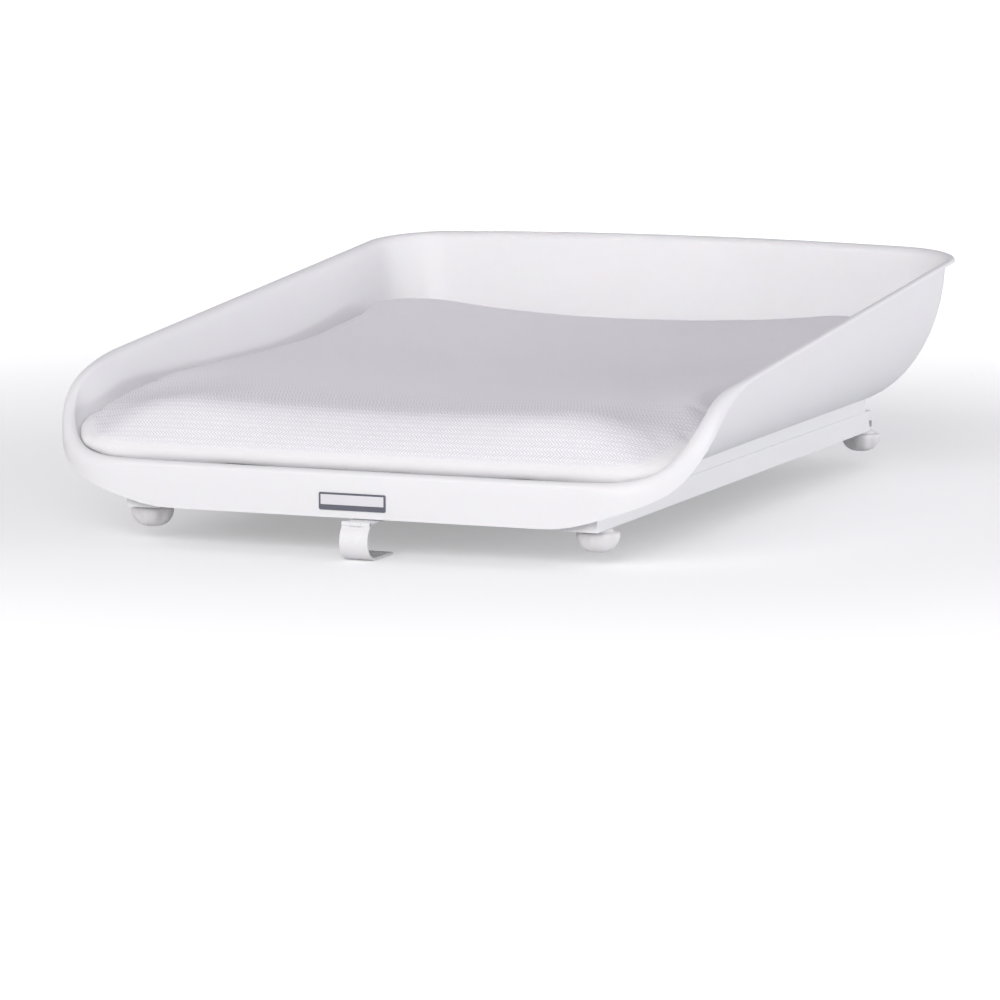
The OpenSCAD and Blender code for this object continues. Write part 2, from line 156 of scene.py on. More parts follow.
def half_outline(w, front, rear, rf, rr):
    """The right half of a rounded outline, from the front centre round to the rear centre."""
    line = [((w - rf) * i / FRONT_STEPS, front) for i in range(FRONT_STEPS)]
    for i in range(FRONT_CORNER_STEPS):
        a = math.pi / 2 * i / FRONT_CORNER_STEPS
        line.append((w - rf + rf * math.sin(a), front + rf - rf * math.cos(a)))
    side_start = front + rf
    side_middle = side_start + CURVE_ZONE
    line += [(w, side_start + CURVE_ZONE * i / CURVE_STEPS) for i in range(CURVE_STEPS)]
    line += [(w, mix(side_middle, rear - rr, i / SIDE_STEPS)) for i in range(SIDE_STEPS)]
    for i in range(REAR_CORNER_STEPS):
        a = math.pi / 2 * i / REAR_CORNER_STEPS
        line.append((w - rr + rr * math.cos(a), rear - rr + rr * math.sin(a)))
    line += [((w - rr) * (1 - i / REAR_STEPS), rear) for i in range(REAR_STEPS + 1)]
    return [Vector(p) for p in line]


def flip(p):
    return Vector((-p.x, p.y))


class Station:
    """One place round the rim: its rim, floor and edge points and its distance from the front."""

    def __init__(self, rim, floor, edge, along):
        self.rim = rim
        self.floor = floor
        self.edge = edge
        self.along = along
        self.climb = (1 + math.tanh((along - CLIMB_MIDDLE) / CLIMB_REACH)) / 2
        side_z = SIDE_RIM_Z + RIM_SLOPE * (rim.y - RIM_FRONT - FRONT_R)
        back = max(0.0, 1 - (RIM_REAR - rim.y) / (REAR_R - FLANGE))
        crown = REAR_CROWN * back * (1 - (rim.x / RIM_W) ** 2)
        self.top = mix(LIP_Z, side_z, self.climb) + crown
        fascia = 1 - (ramp(along, FASCIA_RISE) + ramp(along, FASCIA_TAIL)) / 2
        self.drop = mix(EDGE_DROP, FASCIA_H, fascia)
        soft = ramp(along, SOFT_IN) * (1 - ramp(along, SOFT_OUT))
        grown = min(1.0, (self.drop - EDGE_DROP) / EDGE_GROWTH)
        self.edge_reach = mix(EDGE_DROP - EDGE_TAIL, EDGE_R + SOFT_REACH * soft, grown)
        self.edge_fall = min(self.drop - EDGE_TAIL, EDGE_R + SOFT_FALL * soft)
        self.span = (rim - floor).length

    def place(self, reach, z):
        if reach < 0:
            xy = self.rim.lerp(self.floor, -reach / self.span)
        else:
            xy = self.rim.lerp(self.edge, reach / FLANGE)
        return Vector((xy.x, xy.y, z))

    def section(self):
        """The upper face from the floor to the flange edge, as (reach, z)."""
        roll = min(mix(FRONT_ROLL, SIDE_ROLL, self.climb), FLANGE - self.edge_reach - 0.0002)
        height = self.top - roll - FLOOR_Z
        line = []
        for i in range(BOWL_STEPS + 1):
            a = math.pi / 2 * i / BOWL_STEPS
            reach = -(self.span - WALL_LEAN) * (1 - math.sin(a)) - WALL_LEAN * math.cos(a)
            line.append((reach, FLOOR_Z + height * (1 - math.cos(a))))
        for i in range(ROLL_POINTS):
            a = math.radians(180 - POINT_TURN * (i + 1))
            line.append((roll * (1 + math.cos(a)), self.top - roll + roll * math.sin(a)))
        for i in range(EDGE_POINTS):
            a = math.radians(90 - POINT_TURN * i)
            reach = FLANGE - self.edge_reach * (1 - math.cos(a))
            line.append((reach, self.top - self.edge_fall * (1 - math.sin(a))))
        lowest = self.top - self.drop
        start = self.top - self.edge_fall
        line += [(FLANGE, mix(start, lowest, (i + 1) / TAIL_POINTS)) for i in range(TAIL_POINTS)]
        return line

    def underside(self, line):
        """The lower face: every point of the upper one moved in by the wall thickness."""
        thin = min(WALL, 0.8 * min(self.edge_reach, self.edge_fall))
        moved = []
        for i, (reach, z) in enumerate(line):
            if i == 0:
                moved.append((reach, z - WALL))
                continue
            before = Vector(line[i - 1])
            after = Vector(line[min(len(line) - 1, i + 1)])
            t = (after - before).normalized()
            thick = mix(WALL, thin, ease((i - THINNING_FROM) / THINNING_POINTS))
            moved.append((reach + thick * t.y, z - thick * t.x))
        return moved


def make_stations():
    rims = half_outline(RIM_W, RIM_FRONT, RIM_REAR, FRONT_R - FLANGE, REAR_R - FLANGE)
    floors = half_outline(FLOOR_W, FLOOR_FRONT, FLOOR_REAR, FLOOR_FRONT_R, FLOOR_REAR_R)
    edges = half_outline(HALF_W, EDGE_FRONT, EDGE_REAR, FRONT_R, REAR_R)
    along = 0.0
    right = []
    for i, edge in enumerate(edges):
        if i:
            along += (edge - edges[i - 1]).length
        right.append(Station(rims[i], floors[i], edge, along))
    left = [Station(flip(s.rim), flip(s.floor), flip(s.edge), s.along) for s in right[-2:0:-1]]
    return right + left


# ---- mesh helpers --------------------------------------------------------------------------
def new_object(name, verts, faces):
    mesh = bpy.data.meshes.new(name)
    mesh.from_pydata([tuple(v) for v in verts], [], faces)
    mesh.update()
    obj = bpy.data.objects.new(name, mesh)
    bpy.context.scene.collection.objects.link(obj)
    return obj


def shade_smooth(obj, angle=None):
    obj.data.polygons.foreach_set("use_smooth", [True] * len(obj.data.polygons))
    if angle is not None:
        obj.data.set_sharp_from_angle(angle=math.radians(angle))


def skin(name, rings):
    """Joins closed rings of equally many points into a surface, with a fan on each end."""
    n = len(rings[0])
    verts = [p for ring in rings for p in ring]
    faces = []
    for k in range(len(rings) - 1):
        for i in range(n):
            j = (i + 1) % n
            faces.append((k * n + i, k * n + j, (k + 1) * n + j, (k + 1) * n + i))
    for k in (0, len(rings) - 1):
        verts.append(sum(rings[k], Vector()) / n)
        c = len(verts) - 1
        for i in range(n):
            j = (i + 1) % n
            faces.append((c, k * n + j, k * n + i) if k == 0 else (c, k * n + i, k * n + j))
    obj = new_object(name, verts, faces)
    fix_normals(obj)
    return obj


def fix_normals(obj):
    bm = bmesh.new()
    bm.from_mesh(obj.data)
    bmesh.ops.recalc_face_normals(bm, faces=bm.faces)
    bm.to_mesh(obj.data)
    bm.free()


def apply_modifiers(obj):
    graph = bpy.context.evaluated_depsgraph_get()
    mesh = bpy.data.meshes.new_from_object(obj.evaluated_get(graph))
    obj.modifiers.clear()
    obj.data = mesh


def soften(obj, width, segments=3, angle=35):
    bevel = obj.modifiers.new("soften", "BEVEL")
    bevel.width = width
    bevel.segments = segments
    bevel.limit_method = "ANGLE"
    bevel.angle_limit = math.radians(angle)
    bevel.harden_normals = False


# ---- materials -----------------------------------------------------------------------------
class Material:
    """A node material with short helpers; `out` sockets are passed between them."""

    def __init__(self, name):
        self.material = bpy.data.materials.new(name)
        self.material.use_nodes = True
        self.tree = self.material.node_tree
        self.shader = self.tree.nodes["Principled BSDF"]
        self.coords = self.tree.nodes.new("ShaderNodeTexCoord").outputs["Object"]

    def link(self, source, target):
        self.tree.links.new(source, target)

    def set(self, **values):
        for key, value in values.items():
            socket = self.shader.inputs[key.replace("_", " ")]
            if hasattr(value, "is_output"):
                self.link(value, socket)
            else:
                socket.default_value = value

    def math(self, operation, a, b=0.0, c=0.0):
        node = self.tree.nodes.new("ShaderNodeMath")
        node.operation = operation
        for socket, value in zip(node.inputs, (a, b, c)):
            if hasattr(value, "is_output"):
                self.link(value, socket)
            else:
                socket.default_value = value
        return node.outputs[0]

    def xyz(self, vector=None):
        node = self.tree.nodes.new("ShaderNodeSeparateXYZ")
        self.link(vector or self.coords, node.inputs[0])
        return node.outputs

    def noise(self, scale, detail=3.0, rough=0.5):
        node = self.tree.nodes.new("ShaderNodeTexNoise")
        node.inputs["Scale"].default_value = scale
        node.inputs["Detail"].default_value = detail
        node.inputs["Roughness"].default_value = rough
        self.link(self.coords, node.inputs["Vector"])
        return node.outputs["Fac"]

    def ramp(self, value, low, high):
        """Maps 0..1 to low..high."""
        node = self.tree.nodes.new("ShaderNodeMapRange")
        node.inputs["To Min"].default_value = low
        node.inputs["To Max"].default_value = high
        self.link(value, node.inputs["Value"])
        return node.outputs[0]

    def step(self, value, edge, width):
        """0 below the edge and 1 above it, smoothly over the width."""
        node = self.tree.nodes.new("ShaderNodeMapRange")
        node.interpolation_type = "SMOOTHSTEP"
        node.inputs["From Min"].default_value = edge - width / 2
        node.inputs["From Max"].default_value = edge + width / 2
        self.link(value, node.inputs["Value"])
        return node.outputs[0]

    def mix_color(self, factor, a, b):
        node = self.tree.nodes.new("ShaderNodeMix")
        node.data_type = "RGBA"
        if hasattr(factor, "is_output"):
            self.link(factor, node.inputs[0])
        else:
            node.inputs[0].default_value = factor
        for socket, value in ((node.inputs[6], a), (node.inputs[7], b)):
            if hasattr(value, "is_output"):
                self.link(value, socket)
            else:
                socket.default_value = (*value, 1.0)
        return node.outputs[2]

    def bump(self, height, strength, distance, normal=None):
        node = self.tree.nodes.new("ShaderNodeBump")
        node.inputs["Strength"].default_value = strength
        node.inputs["Distance"].default_value = distance
        self.link(height, node.inputs["Height"])
        if normal:
            self.link(normal, node.inputs["Normal"])
        return node.outputs[0]

    def convex_edges(self, reach):
        """1 on convex edges: the difference between the bevelled and the true normal."""
        bevel = self.tree.nodes.new("ShaderNodeBevel")
        bevel.samples = 4
        bevel.inputs["Radius"].default_value = reach
        geometry = self.tree.nodes.new("ShaderNodeNewGeometry")
        dot = self.tree.nodes.new("ShaderNodeVectorMath")
        dot.operation = "DOT_PRODUCT"
        self.link(bevel.outputs[0], dot.inputs[0])
        self.link(geometry.outputs["Normal"], dot.inputs[1])
        return self.math("SUBTRACT", 1.0, dot.outputs["Value"])


def moulded_plastic(name, color, rough, grain=0.15, edge_polish_and_highlight=0.5):
    """Injection-moulded plastic: fine grain, faint cloudiness and slightly polished edges, which also
    carry a painted highlight.
    """
    m = Material(name)
    cloud = m.noise(7.0, 2.0)
    fine = m.noise(900.0, 2.0)
    broad = m.noise(24.0, 3.0)
    darker = tuple(c * 0.965 for c in color)
    edge = m.math("MULTIPLY", m.convex_edges(0.0012), edge_polish_and_highlight)
    tint = m.mix_color(m.ramp(cloud, 0.2, 0.8), darker, color)
    # Painted highlight: convex edges are coloured up to 4 % lighter. Their lower roughness below is the
    # real polish.
    lit = m.mix_color(edge, tint, tuple(min(1.0, c * 1.04) for c in color))
    roughness = m.math("ADD", m.ramp(broad, rough - 0.05, rough + 0.05), m.ramp(fine, -0.03, 0.03))
    roughness = m.math("SUBTRACT", roughness, m.math("MULTIPLY", edge, 0.1))
    wave = m.bump(broad, 0.05, 0.0006)
    m.set(Base_Color=lit, Roughness=roughness, IOR=1.49, Normal=m.bump(fine, grain, 0.00006, wave))
    m.set(Subsurface_Weight=0.06, Subsurface_Scale=0.004)
    return m.material


def plated_steel(name, color, rough):
    """Zinc plate: brushed streaks with cloudy patches, and a painted highlight on its convex edges."""
    m = Material(name)
    streak = m.noise(260.0, 4.0, 0.7)
    patch = m.noise(60.0, 3.0)
    tint = m.mix_color(patch, tuple(c * 0.8 for c in color), color)
    edge = m.convex_edges(0.0004)
    # Painted highlight: convex edges are coloured a light grey.
    lit = m.mix_color(edge, tint, (0.85, 0.85, 0.86))
    m.set(Base_Color=lit, Metallic=1.0, Roughness=m.ramp(patch, rough - 0.08, rough + 0.1))
    m.set(Normal=m.bump(streak, 0.2, 0.0001))
    return m.material


def badge_face(name, color):
    """Printed foil: an even colour with a fine speckle and a soft sheen."""
    m = Material(name)
    speck = m.noise(2400.0, 2.0)
    patch = m.noise(90.0, 3.0)
    tint = m.mix_color(m.ramp(speck, 0.3, 0.7), tuple(c * 0.9 for c in color), color)
    m.set(Base_Color=tint, Roughness=m.ramp(patch, 0.32, 0.45), Normal=m.bump(speck, 0.1, 0.00003))
    return m.material


# The cover's colours, with painted shade in the knit's valleys, the size of its ribs and rows, and how
# the knit's painted shade fades away from the viewer.
KNIT_VALLEY_SHADE = (0.72, 0.71, 0.75)
KNIT_RIB = (0.97, 0.96, 0.99)
KNIT_CLOUD = (0.78, 0.77, 0.80)
PLAIN_DARK = (0.84, 0.835, 0.85)
PLAIN_LIGHT = (0.91, 0.905, 0.91)
SEAM_SHADE = (0.60, 0.58, 0.56)
RIB_PITCH = 0.0031
RIB_ROW = 0.0042
RIB_SLANT = 1.3
NEAR_EDGE = RIM_FRONT + 0.12
NEAR_WIDTH = 0.16
FAR_CONTRAST = 0.12


def chevron(m):
    """Height of a fine herringbone knit on the mattress: rows of slanting ribs, 0..1.

    Ribs run over the front edge without a break because the row coordinate adds y and z. The knit
    is stretched lengthways, so a row covers more of y than of z.
    """
    rise_share = 0.9
    depth_share = 0.35
    x, y, z = m.xyz()
    warp = m.math("MULTIPLY", m.noise(14.0, 2.0), 0.004)
    along = m.math("ADD", x, warp)
    climb = m.math("ADD", m.math("MULTIPLY", y, depth_share), m.math("MULTIPLY", z, rise_share))
    across = m.math("ADD", climb, m.math("MULTIPLY", m.noise(9.0, 2.0), 0.002))
    zigzag = m.math("PINGPONG", across, RIB_ROW)
    slanted = m.math("ADD", along, m.math("MULTIPLY", zigzag, RIB_SLANT))
    phase = m.math("MULTIPLY", slanted, math.tau / RIB_PITCH)
    rib = m.math("ADD", m.math("MULTIPLY", m.math("SINE", phase), 0.5), 0.5)
    row_wave = m.math("COSINE", m.math("MULTIPLY", across, math.tau / RIB_ROW))
    return m.math("ADD", rib, m.math("MULTIPLY", row_wave, 0.12))


def mattress_cloth(name):
    """Spacer mesh above the seam, with painted shade in its valleys, and plain knit below it, with a
    stitched groove between.
    """
    m = Material(name)
    above = m.tree.nodes.new("ShaderNodeAttribute")
    above.attribute_name = "above_seam"
    rise = above.outputs["Fac"]
    y = m.xyz()[1]
    mesh_part = m.step(rise, 0.003, 0.009)
    groove = m.math("SUBTRACT", 1.0, m.step(m.math("ABSOLUTE", rise), 0.0011, 0.0012))
    near = m.math("SUBTRACT", 1.0, m.step(y, NEAR_EDGE, NEAR_WIDTH))
    clearness = m.math("MULTIPLY_ADD", near, 1 - FAR_CONTRAST, FAR_CONTRAST)
    contrast = m.math("MULTIPLY", mesh_part, clearness)
    rib = m.math("MULTIPLY_ADD", m.math("SUBTRACT", chevron(m), 0.5), contrast, 0.5)
    knit = m.noise(1500.0, 3.0, 0.6)
    fuzz = m.noise(420.0, 4.0, 0.6)
    cloud = m.noise(11.0, 3.0)
    # Painted shade: the knit's valleys are coloured darker than its ribs, at full strength near the
    # front and fading towards the rear.
    ground = m.mix_color(rib, KNIT_VALLEY_SHADE, KNIT_RIB)
    ground = m.mix_color(m.ramp(cloud, 0.0, 0.10), ground, KNIT_CLOUD)
    plain = m.mix_color(knit, PLAIN_DARK, PLAIN_LIGHT)
    color = m.mix_color(mesh_part, plain, ground)
    color = m.mix_color(m.math("MULTIPLY", groove, 0.05), color, SEAM_SHADE)
    wave = m.bump(rib, 0.55, 0.0007)
    fine = m.bump(m.math("ADD", knit, fuzz), 0.18, 0.0003, wave)
    stitched = m.bump(m.math("SUBTRACT", 1.0, groove), 0.15, 0.0005, fine)
    m.set(Base_Color=color, Roughness=0.88, Normal=stitched)
    m.set(Sheen_Weight=0.10, Sheen_Roughness=0.5)
    m.set(Specular_IOR_Level=0.2)
    return m.material


def foam_material(name):
    """Open-cell foam: small pores, with painted shade in their hollows."""
    m = Material(name)
    cells = m.tree.nodes.new("ShaderNodeTexVoronoi")
    cells.inputs["Scale"].default_value = 700.0
    m.link(m.coords, cells.inputs["Vector"])
    pores = cells.outputs["Distance"]
    # Painted shade: the pores are coloured darker towards their middles.
    tint = m.mix_color(pores, (0.80, 0.74, 0.52), (0.93, 0.89, 0.72))
    m.set(Base_Color=tint, Roughness=0.95, Normal=m.bump(pores, 0.6, 0.0006))
    return m.material


def paint(obj, material):
    obj.data.materials.clear()
    obj.data.materials.append(material)


WHITE = (0.86, 0.86, 0.875)
TRAY_PLASTIC = moulded_plastic("tray_plastic", WHITE, 0.48, grain=0.12)
FRAME_PLASTIC = moulded_plastic("frame_plastic", (0.88, 0.88, 0.89), 0.42, grain=0.3)
STOP_PLASTIC = moulded_plastic("stop_plastic", (0.84, 0.83, 0.84), 0.40, grain=0.25)
CATCH_PLASTIC = moulded_plastic("catch_plastic", (0.86, 0.86, 0.87), 0.26, grain=0.1)
STEEL = plated_steel("fastener_steel", (0.62, 0.62, 0.64), 0.35)
ZIP_METAL = plated_steel("zip_metal", (0.72, 0.72, 0.75), 0.30)
BADGE_GREY = badge_face("badge_grey", (0.13, 0.135, 0.17))
BADGE_FIELD = badge_face("badge_field", (0.80, 0.80, 0.83))
MATTRESS_CLOTH = mattress_cloth("mattress_cloth")
FOAM = foam_material("foam")


# ---- tray ----------------------------------------------------------------------------------
STATIONS = make_stations()


def make_tray():
    uppers = [s.section() for s in STATIONS]
    unders = [s.underside(line) for s, line in zip(STATIONS, uppers)]
    count = len(uppers[0])
    rings = [[s.place(*line[k]) for s, line in zip(STATIONS, uppers)] for k in range(count)]
    below = [[s.place(*line[k]) for s, line in zip(STATIONS, unders)] for k in reversed(range(count))]
    bowl = BVHTree.FromPolygons(*bowl_polygons(rings[:BOWL_STEPS + 1 + ROLL_POINTS]))
    tray = skin("moulded_tray", rings + below)
    shade_smooth(tray, 50)
    paint(tray, TRAY_PLASTIC)
    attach(tray, "tray")
    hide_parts("tray_shell")
    return bowl


def bowl_polygons(rings):
    """The inner face alone, floor included, for laying the mattress on."""
    n = len(rings[0])
    verts = [p for ring in rings for p in ring]
    verts.append(sum(rings[0], Vector()) / n)
    faces = [(len(verts) - 1, i, (i + 1) % n) for i in range(n)]
    for k in range(len(rings) - 1):
        for i in range(n):
            j = (i + 1) % n
            faces.append((k * n + i, (k + 1) * n + i, (k + 1) * n + j, k * n + j))
    return verts, faces


BOWL = make_tray()


# ---- mattress ------------------------------------------------------------------------------
PAD_GAP = 0.0015
PAD_FRONT = RIM_FRONT
PAD_REAR = 0.331
PAD_HALF = RIM_W - 0.0075
PAD_FRONT_FLARE = 0.014
FLARE_START = PAD_FRONT + 0.17
FLARE_RUN = 0.12
PAD_CORNER = 0.060
PAD_REAR_CORNER = 0.072
PAD_TOP_FRONT = 0.0835
PAD_TOP_REAR = 0.103
PAD_REAR_RISE = 0.30
PAD_DISH = 0.0125
PAD_REAR_DISH = 0.021
PAD_CURL_RUN = 0.14
PAD_CORNER_FALL = 0.026
CORNER_INNER = 0.17
CORNER_OUTER = 0.29
CORNER_RUN = 0.20
DISH_HALF = 0.26
SEAM_RISE = 0.012
TOP_ROUND = 0.048
BOTTOM_ROUND = 0.004
OUTSIDE_SHARE = 0.07
PAD_EDGE_T = 0.018
CORNER_SPREAD = 0.014
CORNER_DROOP = 0.005
FOAM_MARGIN = 0.014
FOAM_INSET = 0.004

# Where the rings of the mattress's form lie: first metres in from the outline, then shares of
# the way from the centre to the last of them.
RING_DEPTHS = (0.0, 0.0008, 0.0025, 0.005, 0.009, 0.014, 0.020, 0.027, 0.036, 0.048, 0.060)
INNER_SHARES = (0.72, 0.55, 0.36, 0.18)

# How the cover's rear is drawn in at the zip, and how far up, to leave room for the pull.
PULL_ROOM = 0.005
TUCK_RISE = 0.016
TUCK_DEPTH = 0.024
TUCK_GAP = 0.0011


def bowl_height(x, y):
    """Height of the tray's inner face."""
    hit = BOWL.ray_cast(Vector((x, y, 1.0)), Vector((0, 0, -1)))[0]
    return hit.z if hit else LIP_Z


def pad_outline(margin):
    """The mattress from above; it spreads a little at the front, where the tray opens."""
    half = PAD_HALF - margin
    front = PAD_FRONT + margin
    line = half_outline(half, front, PAD_REAR - margin, PAD_CORNER, PAD_REAR_CORNER)
    for p in line:
        p.x *= 1 + PAD_FRONT_FLARE / PAD_HALF * ease((FLARE_START - p.y) / FLARE_RUN)
    return line + [flip(p) for p in line[-2:0:-1]]


def pad_base(p):
    """Height of the underside, which lies on the bowl."""
    return bowl_height(p.x, p.y) + PAD_GAP


def front_corner(p):
    """1 on the front corners of the mattress, fading out inwards and to the rear."""
    outer = ease((abs(p.x) - CORNER_INNER) / (CORNER_OUTER - CORNER_INNER))
    return outer * ease((PAD_FRONT + CORNER_RUN - p.y) / CORNER_RUN)


def pad_crown(p):
    """Height of the top: a shallow trough that rises at the rear and falls off to the front corners."""
    back = ease((p.y - PAD_REAR + PAD_REAR_RISE) / PAD_REAR_RISE)
    curl = ease((p.y - PAD_REAR + PAD_CURL_RUN) / PAD_CURL_RUN)
    dish = mix(PAD_DISH, PAD_REAR_DISH, curl) * (p.x / DISH_HALF) ** 2
    return mix(PAD_TOP_FRONT, PAD_TOP_REAR, back) + dish - PAD_CORNER_FALL * front_corner(p)


def round_off(depth, reach):
    """A quarter of an ellipse: 0 on the outline and 1 from the reach inwards."""
    t = min(1.0, depth / reach)
    return math.sqrt(max(0.0, 1 - (1 - t) ** 2))


def make_pad_form(name, margin=0.0, inset=0.0):
    """A closed form: top from its centre out to the edge line, then back under to the centre.

    The margin moves the outline in, the inset lowers the top and raises the base.
    """
    outline = pad_outline(margin)
    centre = Vector((0.0, (PAD_FRONT + PAD_REAR) / 2))
    rings = []
    for side in ("top", "bottom"):
        rows = []
        for depth in RING_DEPTHS:
            rows.append([(p + (centre - p).normalized() * depth, depth) for p in outline])
        inner = [p for p, _ in rows[-1]]
        for share in INNER_SHARES:
            rows.append([(centre.lerp(p, share), 1.0) for p in inner])
        if side == "top":
            rows.reverse()
        else:
            rows = rows[1:]
        for row in rows:
            ring = []
            for p, depth in row:
                high = pad_crown(p) - inset
                low = min(pad_base(p) + inset, high - PAD_EDGE_T + 2 * inset)
                edge = mix(low, high, OUTSIDE_SHARE)
                if side == "top":
                    z = mix(edge, high, round_off(depth, TOP_ROUND))
                else:
                    z = mix(edge, low, round_off(depth, BOTTOM_ROUND))
                ring.append(Vector((p.x, p.y, z)))
            rings.append(ring)
    return skin(name, rings)


# The simulation's length, its voxel size and how far it may move a point.
CLOTH_FRAMES = 20
CLOTH_STEP = 0.005
CLOTH_REACH = 0.007

# Broad unevenness and pull lines laid over it, and the clearance to the tray.
BROAD_SCALE = 7.0
BROAD_HEIGHT = 0.0014
PULL_SCALE = 22.0
PULL_HEIGHT = 0.0009
PULL_BAND = 0.05
RUMPLE_FROM = 0.055
RUMPLE_FADE = 0.03
SETTLE_FIRST = 0.0012
SETTLE_LAST = 0.0007
SETTLE_HEIGHT = 0.05


def inflate(obj):
    """Blows the cover up a little so that it takes a soft, slightly uneven shape."""
    remesh = obj.modifiers.new("remesh", "REMESH")
    remesh.mode = "VOXEL"
    remesh.voxel_size = CLOTH_STEP
    apply_modifiers(obj)
    before = [v.co.copy() for v in obj.data.vertices]
    cloth = obj.modifiers.new("cloth", "CLOTH")
    settings = cloth.settings
    settings.quality = 6
    settings.mass = 0.25
    settings.tension_stiffness = 22
    settings.compression_stiffness = 22
    settings.bending_stiffness = 0.6
    settings.use_pressure = True
    settings.uniform_pressure_force = 4
    settings.effector_weights.gravity = 0
    cloth.collision_settings.use_collision = False
    cloth.point_cache.frame_start = 1
    cloth.point_cache.frame_end = CLOTH_FRAMES
    for number in range(1, CLOTH_FRAMES + 1):
        bpy.context.scene.frame_set(number)
    apply_modifiers(obj)
    bpy.context.scene.frame_set(1)
    for v, start in zip(obj.data.vertices, before):
        move = v.co - start
        if move.length > CLOTH_REACH:
            v.co = start + move.normalized() * CLOTH_REACH


def relax(obj):
    """Evens out neighbouring points."""
    smooth = obj.modifiers.new("relax", "SMOOTH")
    smooth.factor = 0.5
    smooth.iterations = 3
    apply_modifiers(obj)


def settle_in_bowl(obj, gap):
    """Keeps every point on the inner side of the tray."""
    for v in obj.data.vertices:
        near, normal, _, _ = BOWL.find_nearest(v.co)
        if normal.z < 0:
            normal = -normal
        inside = (v.co - near).dot(normal)
        if inside < gap and v.co.z < near.z + SETTLE_HEIGHT:
            v.co = near + normal * gap


def rumple(obj):
    """Low, broad unevenness of a worn cover, and shallow pull lines along the edges."""
    for v in obj.data.vertices:
        p = v.co
        broad = noise.noise(p * BROAD_SCALE) * BROAD_HEIGHT
        side_edge = ease((abs(p.x) - PAD_HALF + PULL_BAND) / PULL_BAND)
        front_edge = ease((PAD_FRONT + PULL_BAND - p.y) / PULL_BAND)
        spot = Vector((p.x * PULL_SCALE, p.y * PULL_SCALE, p.z * 4))
        pulls = noise.noise(spot) * PULL_HEIGHT * min(1.0, side_edge + front_edge)
        p.z += (broad + pulls) * ease((p.z - RUMPLE_FROM) / RUMPLE_FADE)


def press_corners(obj):
    """The front corners spread out and down onto the tray."""
    for v in obj.data.vertices:
        corner = front_corner(v.co)
        v.co.x *= 1 + CORNER_SPREAD * corner
        v.co.z -= CORNER_DROOP * corner


def tuck_in_zip(obj):
    """The zip draws the rear of the cover in, which leaves its pull room to swing up."""
    low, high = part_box("zip_slider")
    for v in obj.data.vertices:
        above = ease((v.co.z - high.z - PULL_ROOM) / TUCK_RISE)
        v.co.y = min(v.co.y, low.y - TUCK_GAP + TUCK_DEPTH * above)


def mark_seam(obj):
    """Height above the seam between mesh cover and base, read by the material."""
    rise = obj.data.attributes.new("above_seam", "FLOAT", "POINT")
    for i, v in enumerate(obj.data.vertices):
        rise.data[i].value = v.co.z - bowl_height(v.co.x, v.co.y) - PAD_GAP - SEAM_RISE


def make_mattress():
    """The cover: its form filled out by the cloth simulation and laid in the bowl."""
    cover = make_pad_form("mattress_cover")
    inflate(cover)
    relax(cover)
    rumple(cover)
    divide = cover.modifiers.new("divide", "SUBSURF")
    divide.levels = 1
    apply_modifiers(cover)
    press_corners(cover)
    settle_in_bowl(cover, SETTLE_FIRST)
    relax(cover)
    settle_in_bowl(cover, SETTLE_LAST)
    tuck_in_zip(cover)
    mark_seam(cover)
    shade_smooth(cover)
    paint(cover, MATTRESS_CLOTH)
    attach(cover, "mattress")
    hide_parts("cover_top", "cover_base")
    return cover


def make_foam():
    """The foam block has the cover's form before it was filled out, a little smaller."""
    foam = make_pad_form("foam_block", FOAM_MARGIN, FOAM_INSET)
    shade_smooth(foam)
    paint(foam, FOAM)
    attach(foam, "mattress")
    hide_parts("foam_core")


MATTRESS = make_mattress()
make_foam()


# ---- stop knobs ----------------------------------------------------------------------------
LOBES = 5
LOBE_DEPTH = 0.10
KNOB_STEPS = 120
LOBE_FROM = 0.62
LOBE_FADE = 0.3
DOME_STEPS = 12
KNOB_CREASE = 60

# The collar and the upper edge of the grip, as shares of its radius and height.
KNOB_COLLAR = (
    (0.30, 0.0),
    (0.62, 0.0),
    (0.66, 0.03),
    (0.66, 0.10),
    (0.70, 0.13),
    (0.93, 0.14),
    (0.985, 0.18),
)
DOME_CENTRE = (0.22, 0.24)


def make_knob(node, body):
    """A star grip: round lobes, a domed underside and a flat collar against the runner."""
    low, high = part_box(node)
    centre = (low + high) / 2
    radius = (high.x - low.x) / 2
    tall = high.z - low.z
    profile = list(KNOB_COLLAR)
    flat, start = DOME_CENTRE
    for i in range(DOME_STEPS + 1):
        a = math.pi / 2 * i / DOME_STEPS
        profile.append((mix(flat, 1, math.cos(a)), mix(start, 1, math.sin(a))))
    rings = []
    for share, depth in profile:
        ring = []
        for i in range(KNOB_STEPS):
            turn = math.tau * i / KNOB_STEPS
            dent = (0.5 - 0.5 * math.cos(LOBES * turn)) ** 2
            r = radius * share * (1 - LOBE_DEPTH * ease((share - LOBE_FROM) / LOBE_FADE) * dent)
            x = centre.x + r * math.cos(turn)
            y = centre.y + r * math.sin(turn)
            ring.append(Vector((x, y, high.z - tall * depth)))
        rings.append(ring)
    knob = skin(node.replace("knob", "star_knob"), rings)
    shade_smooth(knob, KNOB_CREASE)
    paint(knob, STOP_PLASTIC)
    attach(knob, body)
    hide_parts(node)


for end in ("front", "rear"):
    for side in ("left", "right"):
        make_knob(f"{end}_knob_{side}", f"{end}_stop_{side}")


# ---- badge ---------------------------------------------------------------------------------
BADGE_BORDER = 0.0017
BADGE_BAND = 0.0046
FIELD_PROUD = 0.00025


